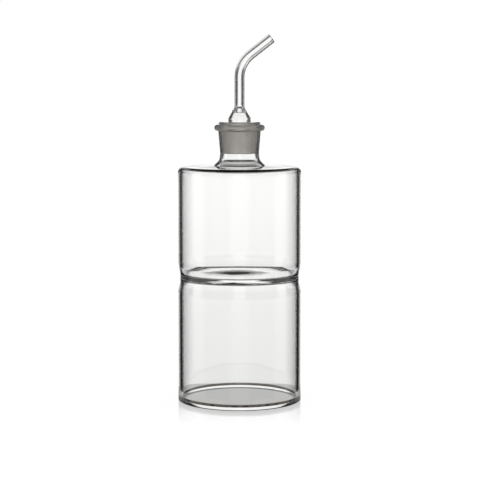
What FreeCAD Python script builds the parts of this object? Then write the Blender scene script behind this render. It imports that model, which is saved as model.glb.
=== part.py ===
"""Glass oil bottle: a closed reservoir on an open glass stand, with a ground pouring stopper.

Units are millimetres. +Z is up, the origin is the centre of the base on the table, and the
spout pours towards +X. Every piece but the bent spout is a turned glass blank, so it is the
revolution of one outline about the Z axis. An outline is a closed list of corners (radius,
height) run counter-clockwise, joined by lines and arcs, and its sizes come from the sheet.
"""

import FreeCAD
import Part
import math
import os
import Sketcher

SIZES = {
    # The two storeys, drawn from one size of tube
    "body_radius": 37.5,
    "body_wall": 2.4,
    # Fire-polished foot rim: a flat land between two rounded sides
    "rim_land_inner": 35.6,
    "rim_land_outer": 36.7,
    "rim_swell": 0.15,
    "rim_swell_height": 1.5,
    "rim_fade_height": 4.5,
    "rim_round": 1.7,
    # Waist groove where the storeys are fused to the reservoir floor
    "stand_height": 74.4,
    "waist_depth": 1.15,
    "waist_run": 8.6,
    "waist_round": 16.4,
    # Reservoir floor, with the low round mark where the tube was closed
    "floor_thickness": 2.8,
    "closure_radius": 15.0,
    "closure_flat_radius": 4.0,
    "closure_rise": 0.7,
    "closure_round": 90.0,
    # Flat shoulder
    "shoulder_height": 143.1,
    "shoulder_round": 2.8,
    "shoulder_inner_round": 1.2,
    # Neck: a flared foot, the ground socket and a rolled bead
    "neck_foot_radius": 15.3,
    "neck_foot_wall": 2.1,
    "neck_pinch_radius": 11.9,
    "neck_pinch_height": 150.2,
    "bead_root_radius": 12.95,
    "bead_bottom_height": 164.0,
    "bead_radius": 15.15,
    "bead_height": 166.3,
    "bead_round": 2.3,
    "bead_top_radius": 12.9,
    "socket_mouth_radius": 11.5,
    "socket_mouth_height": 168.5,
    "joint_taper": 0.05,
    # Ground plug of the stopper
    "ground_clearance": 0.05,
    "plug_bottom_height": 150.9,
    "plug_wall": 1.7,
    "plug_ceiling_height": 168.4,
    "flange_bottom_height": 168.8,
    "flange_radius": 12.6,
    "flange_edge_round": 0.4,
    "flange_top_height": 170.0,
    # Hollow bulb blown above the plug
    "bulb_seam_gap": 0.02,
    "bulb_radius": 6.9,
    "bulb_side_height": 171.0,
    "bulb_shoulder_radius": 5.9,
    "bulb_shoulder_height": 173.9,
    "bulb_shoulder_round": 4.7,
    "bulb_cone_radius": 3.75,
    "bulb_cone_height": 177.5,
    "bulb_neck_round": 5.2,
    "cavity_radius": 5.6,
    "cavity_side_height": 171.8,
    "cavity_ceiling_radius": 3.2,
    "cavity_ceiling_height": 175.8,
    "cavity_round": 4.6,
    "vent_radius": 0.6,
    "vent_offset": 3.5,
    "vent_height": 177.5,
    "vent_lean_degrees": 37.0,
    "vent_depth": 3.4,
    "vent_length": 6.0,
    "vent_lip_radius": 0.95,
    "vent_lip_round": 0.3,
    # Bent spout tube
    "spout_radius": 3.0,
    "spout_bore_radius": 1.5,
    "spout_start_height": 180.2,
    "spout_bend_height": 197.0,
    "spout_bend_radius": 17.3,
    "spout_bend_degrees": 52.0,
    "spout_reach": 16.3,
    "spout_tip_round": 0.6,
}

LEFT = 1
RIGHT = -1
PARTS_FOLDER = "parts"


class Length:
    """A size worked out from sheet cells: its number, and the expression that gives it."""

    def __init__(self, number, text):
        self.number = number
        self.text = text

    def __add__(self, other):
        return Length(self.number + other.number, f"({self.text} + {other.text})")

    def __sub__(self, other):
        return Length(self.number - other.number, f"({self.text} - {other.text})")

    def __mul__(self, other):
        return Length(self.number * other.number, f"({self.text} * {other.text})")


def size(alias):
    return Length(SIZES[alias], f"Sizes.{alias}")


ZERO = Length(0.0, "0")
HALF = Length(0.5, "0.5")


def make_sheet(doc):
    """The driving dimensions, one named cell each."""
    sheet = doc.addObject("Spreadsheet::Sheet", "Sizes")
    for row, (alias, value) in enumerate(SIZES.items(), start=1):
        sheet.set(f"A{row}", alias)
        sheet.set(f"B{row}", str(value))
        sheet.setAlias(f"B{row}", alias)
    doc.recompute()


def new_body(doc, label):
    body = doc.addObject("PartDesign::Body", label)
    body.Label = label
    body.Placement = FreeCAD.Placement()
    return body


def new_sketch(body, name, role):
    """An empty sketch on one of the body's own origin planes."""
    sketch = body.newObject("Sketcher::SketchObject", name)
    plane = next(item for item in body.Origin.OriginFeatures if item.Role == role)
    sketch.AttachmentSupport = [(plane, "")]
    sketch.MapMode = "FlatFace"
    return sketch


def point(across, height):
    """A corner that is reached along a straight line."""
    return (across, height, None, 0)


def arc(across, height, round_radius, turn):
    """A corner that is reached along an arc, which turns left or right."""
    return (across, height, round_radius, turn)


def arc_between(start, end, round_radius):
    """The short arc of a given radius that turns left from start to end."""
    chord = end - start
    half_chord = chord.Length / 2
    centre_distance = math.sqrt(max(round_radius**2 - half_chord**2, 0.0))
    left_normal = FreeCAD.Vector(-chord.y, chord.x, 0).normalize()
    middle = (start + end) / 2 - left_normal * (round_radius - centre_distance)
    return Part.Arc(start, middle, end)


def bind(sketch, constraint, length):
    """Add a constraint whose value the sheet drives."""
    index = sketch.addConstraint(constraint)
    sketch.setExpression(f"Constraints[{index}]", length.text)


def place_end(sketch, edge, end, across, height):
    """Hold one end of an edge at (across, height) from the sketch's origin."""
    on_vertical_axis, on_horizontal_axis = -2, -1
    if across.number == 0:
        sketch.addConstraint(Sketcher.Constraint("PointOnObject", edge, end, on_vertical_axis))
    else:
        distance = Sketcher.Constraint("DistanceX", -1, 1, edge, end, across.number)
        bind(sketch, distance, across)
    if height.number == 0:
        sketch.addConstraint(Sketcher.Constraint("PointOnObject", edge, end, on_horizontal_axis))
    else:
        distance = Sketcher.Constraint("DistanceY", -1, 1, edge, end, height.number)
        bind(sketch, distance, height)


def draw_step(sketch, start_corner, corner):
    """Draw one edge; return its number and which of its ends are its first and last.

    A sketch holds every arc as one that turns left, so a right turn is drawn backwards.
    """
    start = FreeCAD.Vector(start_corner[0].number, start_corner[1].number, 0)
    end = FreeCAD.Vector(corner[0].number, corner[1].number, 0)
    round_radius, turn = corner[2], corner[3]
    if round_radius is None:
        return sketch.addGeometry(Part.LineSegment(start, end), False), 1, 2
    if turn == LEFT:
        return sketch.addGeometry(arc_between(start, end, round_radius.number), False), 1, 2
    return sketch.addGeometry(arc_between(end, start, round_radius.number), False), 2, 1


def draw_chain(sketch, corners, closed):
    """Draw the edges through all corners, join them up and drive them from the sheet."""
    pairs = list(zip(corners, corners[1:]))
    if closed:
        pairs.append((corners[-1], corners[0]))
    edges = [draw_step(sketch, start, end) for start, end in pairs]
    joints = list(zip(edges, edges[1:]))
    if closed:
        joints.append((edges[-1], edges[0]))
    for (edge, _, last), (follower, first, _) in joints:
        sketch.addConstraint(Sketcher.Constraint("Coincident", edge, last, follower, first))
    for (edge, first, _), (start, end) in zip(edges, pairs):
        place_end(sketch, edge, first, start[0], start[1])
        if end[2] is not None:
            bind(sketch, Sketcher.Constraint("Radius", edge, end[2].number), end[2])
    if not closed:
        edge, _, last = edges[-1]
        place_end(sketch, edge, last, corners[-1][0], corners[-1][1])


def turned_body(doc, label, corners):
    """A body that is the full revolution of a closed outline about the Z axis."""
    body = new_body(doc, label)
    outline = new_sketch(body, f"{label}_outline", "XZ_Plane")
    draw_chain(outline, corners, closed=True)
    revolution = body.newObject("PartDesign::Revolution", f"{label}_turned")
    revolution.Profile = outline
    revolution.ReferenceAxis = (outline, ["V_Axis"])
    revolution.Angle = 360
    doc.recompute()
    return body


def socket_radius(height):
    """Radius of the ground socket at a height: a 1 in 10 taper on the diameter."""
    drop = size("socket_mouth_height") - height
    return size("socket_mouth_radius") - drop * size("joint_taper")


def plug_radius(height):
    """Radius of the ground plug at a height, a running clearance inside the socket."""
    return socket_radius(height) - size("ground_clearance")


def make_stand_cylinder(doc):
    """The lower storey: an open glass cylinder that the reservoir stands on."""
    outer = size("body_radius")
    inner = outer - size("body_wall")
    swell = size("rim_swell")
    depth = size("waist_depth")
    waist = size("waist_round")
    top = size("stand_height")
    start = top - size("waist_run")
    middle = top - size("waist_run") * HALF
    return turned_body(doc, "stand_cylinder", [
        arc(size("rim_land_inner"), ZERO, size("rim_round"), LEFT),
        point(size("rim_land_outer"), ZERO),
        arc(outer + swell, size("rim_swell_height"), size("rim_round"), LEFT),
        point(outer, size("rim_fade_height")),
        point(outer, start),
        arc(outer - depth * HALF, middle, waist, LEFT),
        arc(outer - depth, top, waist, RIGHT),
        point(inner - depth, top),
        arc(inner - depth * HALF, middle, waist, LEFT),
        arc(inner, start, waist, RIGHT),
        point(inner, size("rim_fade_height")),
        point(inner - swell, size("rim_swell_height")),
    ])


def make_reservoir_floor(doc):
    """The disc between the storeys, with a shallow raised closure mark in its middle."""
    outer = size("body_radius") - size("waist_depth")
    low = size("stand_height")
    high = low + size("floor_thickness")
    return turned_body(doc, "reservoir_floor", [
        point(ZERO, low),
        point(outer, low),
        point(outer, high),
        point(size("closure_radius"), high),
        arc(size("closure_flat_radius"), high + size("closure_rise"), size("closure_round"), LEFT),
        point(ZERO, high + size("closure_rise")),
    ])


def make_reservoir_wall(doc):
    """The upper storey: wall and flat shoulder in one blank, open where the neck joins."""
    outer = size("body_radius")
    wall = size("body_wall")
    inner = outer - wall
    depth = size("waist_depth")
    waist = size("waist_round")
    bottom = size("stand_height") + size("floor_thickness")
    middle = bottom + size("waist_run") * HALF
    start = bottom + size("waist_run")
    top = size("shoulder_height")
    corner = size("shoulder_round")
    inner_corner = size("shoulder_inner_round")
    foot = size("neck_foot_radius")
    return turned_body(doc, "reservoir_wall", [
        arc(inner - depth, bottom, waist, LEFT),
        point(outer - depth, bottom),
        arc(outer - depth * HALF, middle, waist, RIGHT),
        arc(outer, start, waist, LEFT),
        point(outer, top - corner),
        arc(outer - corner, top, corner, LEFT),
        point(foot, top),
        point(foot, top - wall),
        point(inner - inner_corner, top - wall),
        arc(inner, top - wall - inner_corner, inner_corner, RIGHT),
        point(inner, start),
        arc(inner - depth * HALF, middle, waist, RIGHT),
    ])


def make_neck_socket(doc):
    """The neck: flared foot in the shoulder's hole, tapered ground socket and rolled bead."""
    foot = size("neck_foot_radius")
    foot_inner = foot - size("neck_foot_wall")
    shoulder = size("shoulder_height")
    underside = shoulder - size("body_wall")
    pinch = size("neck_pinch_height")
    mouth = size("socket_mouth_height")
    return turned_body(doc, "neck_socket", [
        point(foot_inner, underside),
        point(foot, underside),
        point(foot, shoulder),
        point(size("neck_pinch_radius"), pinch),
        point(size("bead_root_radius"), size("bead_bottom_height")),
        arc(size("bead_radius"), size("bead_height"), size("bead_round"), LEFT),
        arc(size("bead_top_radius"), mouth, size("bead_round"), LEFT),
        point(size("socket_mouth_radius"), mouth),
        point(socket_radius(pinch), pinch),
        point(foot_inner, shoulder),
    ])


def make_ground_plug(doc):
    """The stopper's hollow ground cone, closed above by a thin flange."""
    bottom = size("plug_bottom_height")
    ceiling = size("plug_ceiling_height")
    flange_bottom = size("flange_bottom_height")
    flange_top = size("flange_top_height")
    flange = size("flange_radius")
    edge = size("flange_edge_round")
    wall = size("plug_wall")
    return turned_body(doc, "ground_plug", [
        point(plug_radius(bottom) - wall, bottom),
        point(plug_radius(bottom), bottom),
        point(plug_radius(flange_bottom), flange_bottom),
        point(flange - edge, flange_bottom),
        arc(flange, flange_bottom + edge, edge, LEFT),
        point(flange, flange_top - edge),
        arc(flange - edge, flange_top, edge, LEFT),
        point(size("cavity_radius"), flange_top),
        point(size("cavity_radius"), ceiling),
        point(plug_radius(ceiling) - wall, ceiling),
    ])


def vent_placement(down_the_hole):
    """A frame on the bulb's -X shoulder, its Z axis out of the vent and tilted to the side."""
    lean = math.radians(SIZES["vent_lean_degrees"])
    outwards = FreeCAD.Vector(-math.sin(lean), 0, math.cos(lean))
    mouth = FreeCAD.Vector(-SIZES["vent_offset"], 0, SIZES["vent_height"])
    rotation = FreeCAD.Rotation(FreeCAD.Vector(0, 0, 1), outwards)
    return FreeCAD.Placement(mouth - outwards * down_the_hole, rotation)


def make_stopper_bulb(doc):
    """The hollow bulb that the spout is drawn from, with an air vent in its shoulder."""
    foot = size("flange_top_height") + size("bulb_seam_gap")
    top = size("spout_start_height")
    ceiling = size("cavity_ceiling_height")
    bulb = turned_body(doc, "stopper_bulb", [
        point(size("cavity_radius"), foot),
        point(size("bulb_radius"), foot),
        point(size("bulb_radius"), size("bulb_side_height")),
        arc(size("bulb_shoulder_radius"), size("bulb_shoulder_height"),
            size("bulb_shoulder_round"), LEFT),
        point(size("bulb_cone_radius"), size("bulb_cone_height")),
        arc(size("spout_radius"), top, size("bulb_neck_round"), RIGHT),
        point(size("spout_bore_radius"), top),
        point(size("spout_bore_radius"), ceiling),
        point(size("cavity_ceiling_radius"), ceiling),
        arc(size("cavity_radius"), size("cavity_side_height"), size("cavity_round"), RIGHT),
    ])
    lip = bulb.newObject("PartDesign::AdditiveTorus", "vent_lip")
    lip.setExpression("Radius1", "Sizes.vent_lip_radius")
    lip.setExpression("Radius2", "Sizes.vent_lip_round")
    lip.Placement = vent_placement(0)
    doc.recompute()
    solid_volume = bulb.Shape.Volume
    hole = bulb.newObject("PartDesign::SubtractiveCylinder", "vent_hole")
    hole.setExpression("Radius", "Sizes.vent_radius")
    hole.setExpression("Height", "Sizes.vent_length")
    hole.Placement = vent_placement(SIZES["vent_depth"])
    doc.recompute()
    if bulb.Shape.Volume >= solid_volume:
        raise RuntimeError("the vent hole cut nothing out of the bulb")
    return bulb


def spout_path():
    """Corners of the spout's centre line: upright, round the bend, then up and outwards."""
    bend = math.radians(SIZES["spout_bend_degrees"])
    sine = Length(math.sin(bend), "sin(Sizes.spout_bend_degrees * 1 deg)")
    cosine = Length(math.cos(bend), "cos(Sizes.spout_bend_degrees * 1 deg)")
    one = Length(1.0, "1")
    bend_radius = size("spout_bend_radius")
    bend_height = size("spout_bend_height")
    bend_end_across = bend_radius * (one - cosine)
    bend_end_height = bend_height + bend_radius * sine
    reach = size("spout_reach")
    return [
        point(ZERO, size("spout_start_height")),
        point(ZERO, bend_height),
        arc(bend_end_across, bend_end_height, bend_radius, RIGHT),
        point(bend_end_across + reach * sine, bend_end_height + reach * cosine),
    ]


def make_spout_tube(doc):
    """The bent pouring tube, swept along its centre line and fire-polished at the tip."""
    body = new_body(doc, "spout_tube")
    path = new_sketch(body, "spout_path", "XZ_Plane")
    corners = spout_path()
    draw_chain(path, corners, closed=False)
    section = new_sketch(body, "spout_section", "XY_Plane")
    section.setExpression(".AttachmentOffset.Base.z", "Sizes.spout_start_height")
    for radius in (size("spout_radius"), size("spout_bore_radius")):
        circle = Part.Circle(FreeCAD.Vector(0, 0, 0), FreeCAD.Vector(0, 0, 1), radius.number)
        edge = section.addGeometry(circle, False)
        section.addConstraint(Sketcher.Constraint("Coincident", edge, 3, -1, 1))
        bind(section, Sketcher.Constraint("Radius", edge, radius.number), radius)
    pipe = body.newObject("PartDesign::AdditivePipe", "spout_pipe")
    pipe.Profile = section
    pipe.Spine = (path, ["Edge1", "Edge2", "Edge3"])
    doc.recompute()

    tip_across, tip_height = corners[-1][0].number, corners[-1][1].number
    tip = FreeCAD.Vector(tip_across, 0, tip_height)
    tip_edges = [
        f"Edge{number}"
        for number, edge in enumerate(pipe.Shape.Edges, start=1)
        if edge.CenterOfMass.distanceToPoint(tip) < SIZES["spout_bore_radius"]
        and isinstance(edge.Curve, Part.Circle)
    ]
    polish = body.newObject("PartDesign::Fillet", "spout_fire_polish")
    polish.Base = (pipe, tip_edges)
    polish.setExpression("Radius", "Sizes.spout_tip_round")
    doc.recompute()
    return body


def check_document(doc, bodies):
    """Stop if any object failed to compute, or a sub-part isn't one good solid."""
    for item in doc.Objects:
        if "Invalid" in item.State or "Error" in item.State:
            raise RuntimeError(f"{item.Name} failed: {item.State}")
    for body in bodies:
        shape = body.Shape
        if shape.isNull() or not shape.isValid() or len(shape.Solids) != 1:
            raise RuntimeError(f"{body.Label} isn't one valid solid")


def export_bodies(bodies):
    os.makedirs(PARTS_FOLDER, exist_ok=True)
    for body in bodies:
        body.Shape.exportStep(os.path.join(PARTS_FOLDER, f"{body.Label}.step"))
        box = body.Shape.optimalBoundingBox(False)
        print(f"{body.Label}: {body.Shape.Volume:.0f} mm3,"
              f" {box.XLength:.1f} x {box.YLength:.1f} x {box.ZLength:.1f},"
              f" z {box.ZMin:.2f} to {box.ZMax:.2f}")


def main():
    doc = FreeCAD.newDocument("glass_oil_bottle")
    make_sheet(doc)
    bodies = [
        make_stand_cylinder(doc),
        make_reservoir_floor(doc),
        make_reservoir_wall(doc),
        make_neck_socket(doc),
        make_ground_plug(doc),
        make_stopper_bulb(doc),
        make_spout_tube(doc),
    ]
    doc.recompute()
    check_document(doc, bodies)
    export_bodies(bodies)


main()
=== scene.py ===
"""Glass oil bottle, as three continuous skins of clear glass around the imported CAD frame.

The bottle, the ground plug and the pouring head are each one fused piece of glass, so each is
one closed mesh: light must not meet a surface where two blanks are fused into one.
The glass is worked out in millimetres, and becomes metres when its mesh is made. An outline is
a list of points (radius, height). The stage is in metres, and its lights are in degrees.
"""

import math
from functools import partial

import bmesh
import bpy
from mathutils import Matrix, Vector


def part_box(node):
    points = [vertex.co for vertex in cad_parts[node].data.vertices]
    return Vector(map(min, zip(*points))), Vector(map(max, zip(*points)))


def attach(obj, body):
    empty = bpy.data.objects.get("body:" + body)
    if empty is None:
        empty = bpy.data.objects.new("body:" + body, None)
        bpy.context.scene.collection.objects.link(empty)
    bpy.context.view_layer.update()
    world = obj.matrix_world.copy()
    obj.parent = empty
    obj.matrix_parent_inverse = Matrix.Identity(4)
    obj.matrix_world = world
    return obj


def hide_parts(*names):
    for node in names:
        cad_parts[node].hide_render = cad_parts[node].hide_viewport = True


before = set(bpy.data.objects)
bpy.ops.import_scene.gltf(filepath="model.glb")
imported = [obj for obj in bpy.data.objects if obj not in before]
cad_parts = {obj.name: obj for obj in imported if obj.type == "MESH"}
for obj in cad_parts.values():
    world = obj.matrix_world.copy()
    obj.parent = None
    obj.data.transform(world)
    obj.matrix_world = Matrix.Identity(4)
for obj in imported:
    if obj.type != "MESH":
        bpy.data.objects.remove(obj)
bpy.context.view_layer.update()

MM = 0.001

# ---------------------------------------------------------------- sizes from the frame


def low(node):
    """The lowest corner of a CAD node, in millimetres."""
    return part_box(node)[0] / MM


def high(node):
    """The highest corner of a CAD node, in millimetres."""
    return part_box(node)[1] / MM


BODY_RADIUS = high("reservoir_wall").x
WAIST_DEPTH = BODY_RADIUS - high("reservoir_floor").x
FLOOR_BOTTOM = low("reservoir_floor").z
FLOOR_TOP = low("reservoir_wall").z
SHOULDER_TOP = high("reservoir_wall").z
NECK_MOUTH = high("neck_socket").z
BEAD_RADIUS = high("neck_socket").x
PLUG_BOTTOM = low("ground_plug").z
FLANGE_TOP = high("ground_plug").z
FLANGE_RADIUS = high("ground_plug").x
BULB_FOOT = low("stopper_bulb").z
BULB_RADIUS = high("stopper_bulb").x
SPOUT_RADIUS = high("spout_tube").y

# ---------------------------------------------------------------- sizes of the glass

# Body: the wall, and the floor between the two storeys
BODY_WALL = 2.4
INNER_RADIUS = BODY_RADIUS - BODY_WALL
INNER_ROUND = 1.2
FLOOR_LIFT = 0.6

# Waist: deepest as far as WAIST_FLAT either side of the fused seam, and gone at WAIST_END.
# It draws in the wall and the rim of the floor, and fades out towards the floor's middle.
WAIST_MIDDLE = (FLOOR_BOTTOM + FLOOR_TOP) / 2
WAIST_FLAT = 2.6
WAIST_END = 8.5
WAIST_FROM_RADIUS = 26.0
WAIST_FULL_RADIUS = 34.0

# Closure mark in the reservoir's floor: its centre is a little off the axis
CLOSURE_RADIUS = 11.0
CLOSURE_STRETCH = 1.8
CLOSURE_DEPTH = 2.1
CLOSURE_CENTRE = Vector((-2.5, 2.0))

# Foot rim: a slight swell outside, a bevel inside and, above the bevel, a band of near-black glass
# that is painted shade for the rim's dark line
RIM_SWELL = 0.149
RIM_SWELL_HEIGHT = 1.5
RIM_SWELL_RUN = 2.2
RIM_SWELL_END = 8.0
RIM_SWELL_DEPTH = 1.0
RIM_BEVEL_RADIUS = 36.5
RIM_SHADE_BOTTOM = 1.9
RIM_SHADE_TOP = 3.5
RIM_SHADE_GAP = 0.1

# Shoulder and neck
SHOULDER_WALL = 1.9
SHOULDER_RISE = 0.6
SHOULDER_EDGE = 9.0
NECK_FOOT_RADIUS = 15.9
THROAT_FOOT_RADIUS = 14.4
FLARE_HEIGHT = 146.9
FLARE_RADIUS = 12.35
THROAT_RADIUS = 11.3
NECK_PINCH_RADIUS = 11.85
NECK_PINCH_HEIGHT = 151.6
BEAD_ROOT_RADIUS = 12.95
BEAD_BOTTOM = 164.9
BEAD_ROUND = 1.79
SATIN_MARGIN = 0.1

# Ground joint
SOCKET_MOUTH_RADIUS = 11.5
SOCKET_BOTTOM = 150.2
SOCKET_CORNER_LIFT = 1.0
JOINT_TAPER = 0.05
GROUND_CLEARANCE = 0.05
GROUND_BOTTOM = 151.4
GROUND_TOP = 165.6
PLUG_WALL = 1.7
PLUG_ROOF = 1.6
PLUG_END_LIFT = 0.3
PLUG_END_FROST = 0.4
FLANGE_GAP = 0.3
FLANGE_BOTTOM = NECK_MOUTH + FLANGE_GAP

# Bulb
BULB_SHOULDER = 172.3
CAVITY_RADIUS = 5.6
CEILING_RADIUS = 4.0
CEILING_HEIGHT = 175.6
CAVITY_TOP = 177.5

# Spout: straight up, round one bend and straight to its tip
SPOUT_FOOT = 178.9
SPOUT_BORE = 1.8
TIP_BORE = 1.5
BEND_HEIGHT = 197.0
BEND_RADIUS = 17.3
BEND_ANGLE = math.radians(52.0)
BEND_LENGTH = BEND_RADIUS * BEND_ANGLE
SPOUT_REACH = 16.3
SPOUT_END = BEND_HEIGHT + BEND_LENGTH + SPOUT_REACH

# Air vent: a hole with a lip, turned a little so that its corners miss the bulb's own
VENT_SPOT = Vector((-3.5, 0.0, 177.5))
VENT_AXIS = Vector((-0.602, 0.0, 0.799))
VENT_TURN = math.radians(4.0)
VENT_RADIUS = 0.60
VENT_REACH = 3.0
VENT_LIP_RADIUS = 0.95
VENT_LIP_THICKNESS = 0.30

# Fineness of the meshes
SEGMENTS = 192
HEAD_SEGMENTS = 96
VENT_SEGMENTS = 32
VENT_LIP_SIDES = 12
ARC_STEP = math.radians(10)
LINE_STEP = 2.5
ON_AXIS = 1e-6
SLIVER = 0.002

# ---------------------------------------------------------------- materials

# The bump's height is in metres. Drawn tube is uneven in long streaks, ground glass is even.
GLASS_IOR = 1.473
BUMP_HEIGHT = 0.00002
DRAWN = (1.0, 1.0, 0.25)
EVEN = (1.0, 1.0, 1.0)


def new_material(name):
    material = bpy.data.materials.new(name)
    material.use_nodes = True
    nodes = material.node_tree.nodes
    nodes.clear()
    return material, nodes, material.node_tree.links


def noise_texture(nodes, links, where, scale, detail):
    texture = nodes.new("ShaderNodeTexNoise")
    texture.inputs["Scale"].default_value = scale
    texture.inputs["Detail"].default_value = detail
    links.new(where, texture.inputs["Vector"])
    return texture.outputs["Fac"]


def glass_material(name, colour, roughness, roughness_spread, bump_scale, stretch):
    """Glass with an uneven polish: noise drives its roughness and its surface."""
    material, nodes, links = new_material(name)
    output = nodes.new("ShaderNodeOutputMaterial")
    shader = nodes.new("ShaderNodeBsdfPrincipled")
    shader.inputs["Base Color"].default_value = (*colour, 1.0)
    shader.inputs["IOR"].default_value = GLASS_IOR
    shader.inputs["Transmission Weight"].default_value = 1.0
    links.new(shader.outputs["BSDF"], output.inputs["Surface"])

    where = nodes.new("ShaderNodeTexCoord")
    scaling = nodes.new("ShaderNodeMapping")
    scaling.inputs["Scale"].default_value = stretch
    links.new(where.outputs["Object"], scaling.inputs["Vector"])

    polish = noise_texture(nodes, links, scaling.outputs["Vector"], scale=60.0, detail=3.0)
    spread = nodes.new("ShaderNodeMapRange")
    spread.inputs["To Min"].default_value = roughness
    spread.inputs["To Max"].default_value = roughness + roughness_spread
    links.new(polish, spread.inputs["Value"])
    links.new(spread.outputs["Result"], shader.inputs["Roughness"])

    surface = noise_texture(nodes, links, scaling.outputs["Vector"], scale=bump_scale, detail=4.0)
    bump = nodes.new("ShaderNodeBump")
    bump.inputs["Strength"].default_value = 1.0
    bump.inputs["Distance"].default_value = BUMP_HEIGHT
    links.new(surface, bump.inputs["Height"])
    links.new(bump.outputs["Normal"], shader.inputs["Normal"])
    return material


GLASSES = [
    glass_material(
        "clear_glass", colour=(0.985, 0.99, 0.98), roughness=0.0, roughness_spread=0.004,
        bump_scale=25.0, stretch=DRAWN,
    ),
    glass_material(
        "ground_glass", colour=(0.99, 0.955, 0.92), roughness=0.48, roughness_spread=0.14,
        bump_scale=2500.0, stretch=EVEN,
    ),
    # Near-black glass on a thin band inside the foot rim: painted shade for the dark line there
    glass_material(
        "rim_painted_shade_glass", colour=(0.04, 0.028, 0.022), roughness=0.0, roughness_spread=0.02,
        bump_scale=25.0, stretch=DRAWN,
    ),
    glass_material(
        "satin_glass", colour=(0.995, 0.955, 0.915), roughness=0.42, roughness_spread=0.12,
        bump_scale=2500.0, stretch=EVEN,
    ),
]
CLEAR, GROUND, PAINTED_RIM_SHADE, SATIN = range(len(GLASSES))


def all_clear(radius, height):
    return CLEAR


# ---------------------------------------------------------------- outlines


def rounded(corners, closed):
    """Points along a polygon whose corners (radius, height, round) are rounded off."""
    spots = [Vector(corner[:2]) for corner in corners]
    count = len(corners)
    points = []
    for index, (spot, corner) in enumerate(zip(spots, corners)):
        radius = corner[2]
        if radius == 0 or (not closed and index in (0, count - 1)):
            points.append(spot)
            continue
        back = (spots[index - 1] - spot).normalized()
        forth = (spots[(index + 1) % count] - spot).normalized()
        half_angle = back.angle(forth) / 2
        centre = spot + (back + forth).normalized() * (radius / math.sin(half_angle))
        start = spot + back * (radius / math.tan(half_angle)) - centre
        sweep = math.pi - 2 * half_angle
        if back.x * forth.y - back.y * forth.x > 0:
            sweep = -sweep
        steps = max(2, math.ceil(abs(sweep) / ARC_STEP))
        for step in range(steps + 1):
            turn = Matrix.Rotation(sweep * step / steps, 2)
            points.append(centre + turn @ start)
    return subdivided(points, closed)


def subdivided(points, closed):
    """The same points, with more along the long straight runs."""
    followers = points[1:] + points[:1] if closed else points[1:]
    out = []
    for start, end in zip(points, followers):
        steps = max(1, math.ceil((end - start).length / LINE_STEP))
        out += [start.lerp(end, step / steps) for step in range(steps)]
    return out if closed else out + [points[-1]]


# ---------------------------------------------------------------- meshes


def skin(name, points, place, segments, closed, glass_of):
    """A watertight skin: each outline point goes round the axis, and place() gives its spot."""
    mesh_builder = bmesh.new()
    rings = []
    for point in points:
        if point.x < ON_AXIS:
            rings.append([mesh_builder.verts.new(place(0.0, point.y, 0.0) * MM)])
            continue
        rings.append([
            mesh_builder.verts.new(place(point.x, point.y, 2 * math.pi * k / segments) * MM)
            for k in range(segments)
        ])
    pairs = list(zip(range(len(rings)), range(1, len(rings))))
    if closed:
        pairs.append((len(rings) - 1, 0))
    for first, second in pairs:
        middle = (points[first] + points[second]) / 2
        slot_index = glass_of(middle.x, middle.y)
        one, two = rings[first], rings[second]
        for k in range(segments):
            follower = (k + 1) % segments
            if len(one) == 1:
                corners = (one[0], two[follower], two[k])
            elif len(two) == 1:
                corners = (one[k], one[follower], two[0])
            else:
                corners = (one[k], one[follower], two[follower], two[k])
            face = mesh_builder.faces.new(corners)
            face.smooth = True
            face.material_index = slot_index
    bmesh.ops.recalc_face_normals(mesh_builder, faces=mesh_builder.faces)
    mesh = bpy.data.meshes.new(name)
    mesh_builder.to_mesh(mesh)
    mesh_builder.free()
    for glass in GLASSES:
        mesh.materials.append(glass)
    piece = bpy.data.objects.new(name, mesh)
    bpy.context.scene.collection.objects.link(piece)
    return piece


def around_axis(radius, height, angle):
    return Vector((radius * math.cos(angle), radius * math.sin(angle), height))


# ---------------------------------------------------------------- bottle


def share_of(value, start, end):
    """0 up to start, 1 from end on, and even between."""
    return min(1.0, max(0.0, (value - start) / (end - start)))


def waist(height):
    """How far the wall is drawn in at a height: one smooth valley at the fused seam."""
    off = share_of(abs(height - WAIST_MIDDLE), WAIST_FLAT, WAIST_END)
    return WAIST_DEPTH * (1 + math.cos(math.pi * off)) / 2


def rim_swell(radius, height):
    """How far the outside of the foot rim swells out at a height."""
    outside = share_of(radius, BODY_RADIUS - RIM_SWELL_DEPTH, BODY_RADIUS)
    return outside * RIM_SWELL * math.exp(-((height - RIM_SWELL_HEIGHT) / RIM_SWELL_RUN) ** 2)


def closure(x, y):
    """How deep the closure mark is: a shallow oval dimple, longer from side to side."""
    off = Vector((x, y)) - CLOSURE_CENTRE
    off.x /= CLOSURE_STRETCH
    return CLOSURE_DEPTH * max(0.0, 1 - off.length / CLOSURE_RADIUS)


def place_bottle(radius, height, angle):
    """The bottle's surface, with its waist, the swell of its foot and its closure mark."""
    radius -= waist(height) * share_of(radius, WAIST_FROM_RADIUS, WAIST_FULL_RADIUS)
    if height < RIM_SWELL_END:
        radius += rim_swell(radius, height)
    if FLOOR_TOP < height < FLOOR_TOP + 2 * FLOOR_LIFT:
        height -= closure(radius * math.cos(angle), radius * math.sin(angle))
    return around_axis(radius, height, angle)


def socket_radius(height):
    return SOCKET_MOUTH_RADIUS - (NECK_MOUTH - height) * JOINT_TAPER


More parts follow.
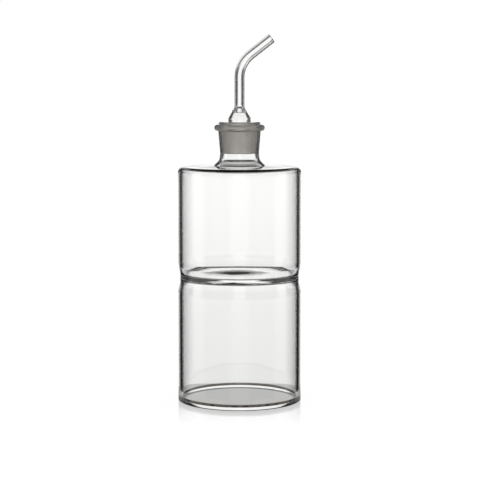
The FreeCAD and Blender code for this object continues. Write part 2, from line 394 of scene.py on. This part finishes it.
def bottle_outline():
    """From the middle of the reservoir's floor, through the neck, down to the floor's underside."""
    floor_face = FLOOR_TOP + FLOOR_LIFT
    floor_underside = FLOOR_BOTTOM + FLOOR_LIFT
    shoulder_underside = SHOULDER_TOP - SHOULDER_WALL
    return rounded([
        (0.0, floor_face, 0),
        (INNER_RADIUS, floor_face, INNER_ROUND),
        (INNER_RADIUS, shoulder_underside, INNER_ROUND),
        (THROAT_FOOT_RADIUS, shoulder_underside + SHOULDER_RISE, 0.8),
        (THROAT_RADIUS, FLARE_HEIGHT, 3.0),
        (socket_radius(SOCKET_BOTTOM), SOCKET_BOTTOM + SOCKET_CORNER_LIFT, 6.0),
        (SOCKET_MOUTH_RADIUS, NECK_MOUTH, 0.4),
        (BEAD_RADIUS, NECK_MOUTH, BEAD_ROUND),
        (BEAD_RADIUS, BEAD_BOTTOM, BEAD_ROUND),
        (BEAD_ROOT_RADIUS, BEAD_BOTTOM, 0.5),
        (NECK_PINCH_RADIUS, NECK_PINCH_HEIGHT, 3.0),
        (FLARE_RADIUS, FLARE_HEIGHT, 4.0),
        (NECK_FOOT_RADIUS, SHOULDER_TOP + SHOULDER_RISE, 0.6),
        (BODY_RADIUS - SHOULDER_EDGE, SHOULDER_TOP + SHOULDER_RISE / 3, 30.0),
        (BODY_RADIUS, SHOULDER_TOP, 3.5),
        (BODY_RADIUS, 0.0, 0.7),
        (RIM_BEVEL_RADIUS, 0.0, 0.3),
        (INNER_RADIUS, RIM_SHADE_BOTTOM - RIM_SHADE_GAP, 0.3),
        (INNER_RADIUS, RIM_SHADE_BOTTOM, 0),
        (INNER_RADIUS, RIM_SHADE_TOP, 0),
        (INNER_RADIUS, floor_underside, INNER_ROUND),
        (0.0, floor_underside, 0),
    ], closed=False)


def bottle_finish(radius, height):
    """The inside of the neck is ground as far as the bead, which is satin; a thin band inside the
    foot rim is near-black glass, painted shade.
    """
    if GROUND_BOTTOM < height < GROUND_TOP and radius < NECK_PINCH_RADIUS:
        return GROUND
    if height > BEAD_BOTTOM - SATIN_MARGIN and radius > SOCKET_MOUTH_RADIUS + SATIN_MARGIN:
        return SATIN
    inside = radius < BODY_RADIUS - BODY_WALL / 2
    return PAINTED_RIM_SHADE if RIM_SHADE_BOTTOM < height < RIM_SHADE_TOP and inside else CLEAR


bottle = skin("bottle_glass", bottle_outline(), place_bottle, SEGMENTS, False, bottle_finish)
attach(bottle, "bottle")
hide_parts("stand_cylinder", "reservoir_floor", "reservoir_wall", "neck_socket")

# ---------------------------------------------------------------- ground plug


def plug_radius(height):
    return socket_radius(height) - GROUND_CLEARANCE


def plug_outline():
    """Out along the plug's end, up the cone, round the flange and down the hollow."""
    ceiling = FLANGE_TOP - PLUG_ROOF
    end = PLUG_BOTTOM + PLUG_END_LIFT
    return rounded([
        (plug_radius(end) - PLUG_WALL, end, 0.5),
        (plug_radius(end), end, 0.5),
        (plug_radius(FLANGE_BOTTOM), FLANGE_BOTTOM, 0.15),
        (FLANGE_RADIUS, FLANGE_BOTTOM, 0.5),
        (FLANGE_RADIUS, FLANGE_TOP, 0.5),
        (CAVITY_RADIUS, FLANGE_TOP, 0.2),
        (CAVITY_RADIUS, ceiling, 0.6),
        (plug_radius(ceiling) - PLUG_WALL, ceiling, 1.2),
    ], closed=True)


def plug_finish(radius, height):
    """The cone and the flange are ground outside, and so is the plug's end; the hollow is clear."""
    outside = radius > plug_radius(height) - PLUG_WALL / 2
    on_cone_or_flange = height < GROUND_TOP or height > FLANGE_BOTTOM
    at_end = height < GROUND_BOTTOM + PLUG_END_FROST
    return GROUND if (outside and on_cone_or_flange) or at_end else CLEAR


plug = skin("ground_plug_glass", plug_outline(), around_axis, SEGMENTS, True, plug_finish)
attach(plug, "stopper")
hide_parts("ground_plug")

# ---------------------------------------------------------------- pouring head


def along_spout(radius, travel, angle):
    """A point at a radius and angle round the spout's centre line, travel mm up along it."""
    turn = min(max(travel - BEND_HEIGHT, 0.0) / BEND_RADIUS, BEND_ANGLE)
    past = max(travel - BEND_HEIGHT - BEND_LENGTH, 0.0)
    centre = Vector((
        BEND_RADIUS * (1 - math.cos(turn)) + past * math.sin(turn),
        0.0,
        min(travel, BEND_HEIGHT) + BEND_RADIUS * math.sin(turn) + past * math.cos(turn),
    ))
    outwards = Vector((math.cos(turn), 0.0, -math.sin(turn)))
    sideways = Vector((0.0, 1.0, 0.0))
    return centre + (outwards * math.cos(angle) + sideways * math.sin(angle)) * radius


def head_outline():
    """From the bulb's foot up the outside to the spout's tip, and back down the inside."""
    return rounded([
        (CAVITY_RADIUS, BULB_FOOT, 0.3),
        (BULB_RADIUS, BULB_FOOT, 0.3),
        (BULB_RADIUS, BULB_SHOULDER, 4.0),
        (SPOUT_RADIUS, SPOUT_FOOT, 5.0),
        (SPOUT_RADIUS, SPOUT_END, 0.7),
        (TIP_BORE, SPOUT_END, 0.5),
        (TIP_BORE, SPOUT_END - SPOUT_REACH, 20.0),
        (SPOUT_BORE, BEND_HEIGHT, 20.0),
        (SPOUT_BORE, CAVITY_TOP, 1.2),
        (CEILING_RADIUS, CEILING_HEIGHT, 0.9),
        (CAVITY_RADIUS, BULB_SHOULDER, 1.2),
    ], closed=True)


def around_vent(radius, height, angle):
    """A point round the vent's axis, counted from the bulb's shoulder."""
    point = Matrix.Rotation(VENT_TURN, 3, "Z") @ around_axis(radius, height, angle)
    return VENT_SPOT + VENT_AXIS.to_track_quat("Z", "Y") @ point


def vent_lip():
    """A small glass ring round the vent's axis."""
    turns = [math.tau * k / VENT_LIP_SIDES for k in range(VENT_LIP_SIDES)]
    section = [
        Vector((
            VENT_LIP_RADIUS + VENT_LIP_THICKNESS * math.cos(turn),
            VENT_LIP_THICKNESS * math.sin(turn),
        )) for turn in turns
    ]
    return skin("vent_lip", section, around_vent, VENT_SEGMENTS, True, all_clear)


def vent_hole():
    """A round rod along the vent's axis, which cuts the hole."""
    section = [
        Vector((0.0, -VENT_REACH)),
        Vector((VENT_RADIUS, -VENT_REACH)),
        Vector((VENT_RADIUS, VENT_REACH)),
        Vector((0.0, VENT_REACH)),
    ]
    return skin("vent_hole", section, around_vent, VENT_SEGMENTS, False, all_clear)


def combine(piece, other, operation):
    """Join the other piece to this one, or cut it away, and drop the other."""
    change = piece.modifiers.new(operation, "BOOLEAN")
    change.operation = operation
    change.solver = "EXACT"
    change.object = other
    graph = bpy.context.evaluated_depsgraph_get()
    mesh = bpy.data.meshes.new_from_object(piece.evaluated_get(graph))
    piece.modifiers.remove(change)
    old = piece.data
    piece.data = mesh
    mesh.name = old.name
    bpy.data.meshes.remove(old)
    leftover = other.data
    bpy.data.objects.remove(other)
    bpy.data.meshes.remove(leftover)
    cleaner = bmesh.new()
    cleaner.from_mesh(mesh)
    bmesh.ops.dissolve_degenerate(cleaner, edges=cleaner.edges, dist=SLIVER * MM)
    cleaner.to_mesh(mesh)
    cleaner.free()


head = skin("pouring_head_glass", head_outline(), along_spout, HEAD_SEGMENTS, True, all_clear)
combine(head, vent_lip(), "UNION")
combine(head, vent_hole(), "DIFFERENCE")
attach(head, "pouring_head")
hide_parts("stopper_bulb", "spout_tube")

# ---------------------------------------------------------------- stage

# Lights that only the glass sees: a tall softbox in each of the four square directions, the first
# straight behind the bottle, and a low one in each corner between them. A pair of degrees is
# where a light is nothing and where it is full.
CORNER = 45.0
BOX_EDGE = (24.0, 13.0)
BOX_FOOT = (-15.0, -11.0)
BOX_TOP = (22.0, 12.0)
BOX_STEP = (-4.0, -2.5)
BOX_STEP_NARROWING = 0.6
CORNER_BOX_TOP = (-11.9, -12.6)
HIGH_UP = (-11.0, -3.0)
BRIGHT = 0.87
BRIGHT_GAIN = 0.17
DARK = 0.015
DARK_GAIN = 0.03
TOP_BOX = (38.0, 50.0)
TOP_LIGHT = 0.1

# Lights for some paths in the glass only: a ring all round the room, and a low wash at its sides
# and behind the camera. A path's number is the count of surfaces that it met, plus one.
HALO_FOOT = (8.0, 10.0)
HALO_TOP = (24.0, 18.0)
HALO_PATHS = (5.0, 6.0)
WASH_TOP = (0.0, -2.0)
WASH_EDGE = (60.0, 75.0)
WASH_LIGHT = 0.95
WASH_PATHS = (2.0, 6.0, 8.0)

# The table, in metres: a mirror image near the foot, and the grey plate that the glass sees, with a
# painted shadow in a ring under the foot rim
TABLE_HALF = 60.0
TABLE_LIGHT = 1.03
GLOSS_REACH = (0.100, 0.030)
GLOSS_GAIN = 1.3
GLOSS_COLOUR = (0.92, 0.92, 0.92, 1.0)
GLOSS_ROUGHNESS = 0.1
GLOSS_IOR = 1.5
PLATE_HALF = 0.050
PLATE_BLUR = 0.0005
PLATE_COLOUR = (0.50, 0.50, 0.49, 1.0)
CONTACT_RADIUS = 0.0365
PAINTED_SHADOW_EDGE = (0.0015, 0.003)
PAINTED_SHADOW_LIGHT = 0.4

# The camera, in metres and degrees
CAMERA_SPOT = (0.0003, -0.993, 0.2004)
CAMERA_TILT = 5.87
CAMERA_LENS = 122.7
CAMERA_SENSOR = 36.0
CAMERA_END = 50.0

# How many surfaces of glass light may pass
BOUNCES = 24


def math_node(nodes, links, operation, *values):
    """A Math node on numbers or on other nodes' outputs."""
    node = nodes.new("ShaderNodeMath")
    node.operation = operation
    for socket, value in zip(node.inputs, values):
        if isinstance(value, (int, float)):
            socket.default_value = value
        else:
            links.new(value, socket)
    return node.outputs[0]


def smooth_step(nodes, links, value, start, end):
    """0 at start, 1 at end, smooth between."""
    node = nodes.new("ShaderNodeMapRange")
    node.interpolation_type = "SMOOTHSTEP"
    node.inputs["From Min"].default_value = start
    node.inputs["From Max"].default_value = end
    links.new(value, node.inputs["Value"])
    return node.outputs["Result"]


def on_paths(nodes, calc, numbers):
    """1 for light whose path in the glass has one of these numbers, else 0."""
    depth = nodes.new("ShaderNodeLightPath").outputs["Ray Depth"]
    total = 0.0
    for number in numbers:
        total = calc("ADD", total, calc("COMPARE", depth, number, 0.1))
    return total


def softboxes(calc, fade, azimuth, elevation):
    """1 in the square and the corner softboxes, 0 in the gaps between them."""
    off_square = calc("ABSOLUTE", calc("WRAP", azimuth, CORNER, -CORNER))
    off_corner = calc("SUBTRACT", CORNER, off_square)
    narrowing = calc("MULTIPLY_ADD", fade(elevation, *BOX_STEP), BOX_STEP_NARROWING, 1.0)
    off_square = calc("MULTIPLY", off_square, narrowing)
    square_boxes = calc("MULTIPLY", fade(off_square, *BOX_EDGE), fade(elevation, *BOX_FOOT))
    corner_boxes = calc("MULTIPLY", fade(off_corner, *BOX_EDGE), fade(elevation, *CORNER_BOX_TOP))
    boxes = calc("MAXIMUM", square_boxes, corner_boxes)
    return calc("MULTIPLY", boxes, fade(elevation, *BOX_TOP))


def light_on_glass(nodes, calc, fade, azimuth, elevation):
    """How bright a direction is to the glass: its boxes and its halo stand in a dark room."""
    halo = calc("MULTIPLY", fade(elevation, *HALO_FOOT), fade(elevation, *HALO_TOP))
    halo = calc("MULTIPLY", halo, on_paths(nodes, calc, HALO_PATHS))
    boxes = calc("MAXIMUM", softboxes(calc, fade, azimuth, elevation), halo)

    high_up = fade(elevation, *HIGH_UP)
    bright = calc("ADD", BRIGHT, calc("MULTIPLY", high_up, BRIGHT_GAIN))
    dark = calc("ADD", DARK, calc("MULTIPLY", high_up, DARK_GAIN))
    wash = calc("MULTIPLY", fade(elevation, *WASH_TOP), fade(calc("ABSOLUTE", azimuth), *WASH_EDGE))
    wash = calc("MULTIPLY", wash, WASH_LIGHT)
    wash = calc("MULTIPLY", on_paths(nodes, calc, WASH_PATHS), wash)
    dark = calc("MAXIMUM", dark, wash)
    glow = calc("ADD", dark, calc("MULTIPLY", boxes, calc("SUBTRACT", bright, dark)))
    return calc("ADD", glow, calc("MULTIPLY", fade(elevation, *TOP_BOX), TOP_LIGHT))


def make_world():
    """A white room to the camera; to the glass, tall softboxes with dark gaps between."""
    world = bpy.data.worlds.new("studio")
    bpy.context.scene.world = world
    world.use_nodes = True
    nodes, links = world.node_tree.nodes, world.node_tree.links
    nodes.clear()
    calc = partial(math_node, nodes, links)
    fade = partial(smooth_step, nodes, links)

    split = nodes.new("ShaderNodeSeparateXYZ")
    links.new(nodes.new("ShaderNodeTexCoord").outputs["Generated"], split.inputs[0])
    degrees = math.degrees(1.0)
    azimuth = calc("MULTIPLY", calc("ARCTAN2", split.outputs["X"], split.outputs["Y"]), degrees)
    elevation = calc("MULTIPLY", calc("ARCSINE", split.outputs["Z"]), degrees)

    strength = nodes.new("ShaderNodeMix")
    links.new(nodes.new("ShaderNodeLightPath").outputs["Is Camera Ray"], strength.inputs["Factor"])
    links.new(light_on_glass(nodes, calc, fade, azimuth, elevation), strength.inputs["A"])
    strength.inputs["B"].default_value = 1.0
    background = nodes.new("ShaderNodeBackground")
    background.inputs["Color"].default_value = (1.0, 1.0, 1.0, 1.0)
    links.new(strength.outputs["Result"], background.inputs["Strength"])
    output = nodes.new("ShaderNodeOutputWorld")
    links.new(background.outputs[0], output.inputs["Surface"])


def mixed(nodes, links, factor, one, other):
    """One shader where the factor is 0, the other where it is 1."""
    mix = nodes.new("ShaderNodeMixShader")
    links.new(factor, mix.inputs["Fac"])
    links.new(one, mix.inputs[1])
    links.new(other, mix.inputs[2])
    return mix.outputs[0]


def glossy_table(nodes, links, out):
    """What the camera sees: white, with a soft mirror image near the foot."""
    white = nodes.new("ShaderNodeEmission")
    white.inputs["Strength"].default_value = TABLE_LIGHT
    gloss = nodes.new("ShaderNodeBsdfGlossy")
    gloss.inputs["Roughness"].default_value = GLOSS_ROUGHNESS
    gloss.inputs["Color"].default_value = GLOSS_COLOUR
    slant = nodes.new("ShaderNodeFresnel")
    slant.inputs["IOR"].default_value = GLOSS_IOR
    near = smooth_step(nodes, links, out, *GLOSS_REACH)
    mirror = math_node(nodes, links, "MULTIPLY", slant.outputs[0], GLOSS_GAIN)
    mirror = math_node(nodes, links, "MULTIPLY", near, mirror)
    return mixed(nodes, links, mirror, white.outputs[0], gloss.outputs[0])


def grey_plate(nodes, links, where, out):
    """What the glass sees: a plate with rounded corners, a painted shadow darker under the rim, and
    nothing beyond.
    """
    calc = partial(math_node, nodes, links)
    split = nodes.new("ShaderNodeSeparateXYZ")
    links.new(where, split.inputs[0])
    across = [calc("ABSOLUTE", split.outputs[axis]) for axis in "XY"]
    fourths = [calc("POWER", distance, 4.0) for distance in across]
    far = calc("POWER", calc("ADD", *fourths), 0.25)
    beyond = smooth_step(nodes, links, far, PLATE_HALF - PLATE_BLUR, PLATE_HALF + PLATE_BLUR)

    # Painted shadow: the plate is darker in a ring under the foot rim
    off_rim = calc("ABSOLUTE", calc("SUBTRACT", out, CONTACT_RADIUS))
    off_rim = smooth_step(nodes, links, off_rim, *PAINTED_SHADOW_EDGE)
    light = calc("MULTIPLY_ADD", off_rim, 1.0 - PAINTED_SHADOW_LIGHT, PAINTED_SHADOW_LIGHT)
    plate = nodes.new("ShaderNodeEmission")
    plate.inputs["Color"].default_value = PLATE_COLOUR
    links.new(light, plate.inputs["Strength"])
    see_through = nodes.new("ShaderNodeBsdfTransparent")
    return mixed(nodes, links, beyond, plate.outputs[0], see_through.outputs[0])


def make_floor():
    """A pale glossy table to the camera, and to the glass a small grey plate in its place."""
    mesh = bpy.data.meshes.new("floor")
    half = TABLE_HALF
    corners = [(-half, -half, 0), (half, -half, 0), (half, half, 0), (-half, half, 0)]
    mesh.from_pydata(corners, [], [(0, 1, 2, 3)])
    floor = bpy.data.objects.new("floor", mesh)
    bpy.context.scene.collection.objects.link(floor)
    material, nodes, links = new_material("table")
    mesh.materials.append(material)

    where = nodes.new("ShaderNodeTexCoord").outputs["Object"]
    length = nodes.new("ShaderNodeVectorMath")
    length.operation = "LENGTH"
    links.new(where, length.inputs[0])
    out = length.outputs["Value"]
    seen = nodes.new("ShaderNodeLightPath").outputs["Is Camera Ray"]
    plate = grey_plate(nodes, links, where, out)
    table = glossy_table(nodes, links, out)
    output = nodes.new("ShaderNodeOutputMaterial")
    links.new(mixed(nodes, links, seen, plate, table), output.inputs["Surface"])


def make_camera():
    """A metre in front of the bottle, level with the spout's bend and tilted down a little."""
    camera = bpy.data.objects.new("camera", bpy.data.cameras.new("camera"))
    bpy.context.scene.collection.objects.link(camera)
    camera.data.sensor_width = CAMERA_SENSOR
    camera.data.lens = CAMERA_LENS
    camera.data.clip_end = CAMERA_END
    camera.location = CAMERA_SPOT
    camera.rotation_euler = (math.radians(90.0 - CAMERA_TILT), 0.0, 0.0)
    bpy.context.scene.camera = camera


make_world()
make_floor()
make_camera()
bpy.context.scene.view_settings.view_transform = "Standard"
bpy.context.scene.cycles.max_bounces = BOUNCES
bpy.context.scene.cycles.transmission_bounces = BOUNCES
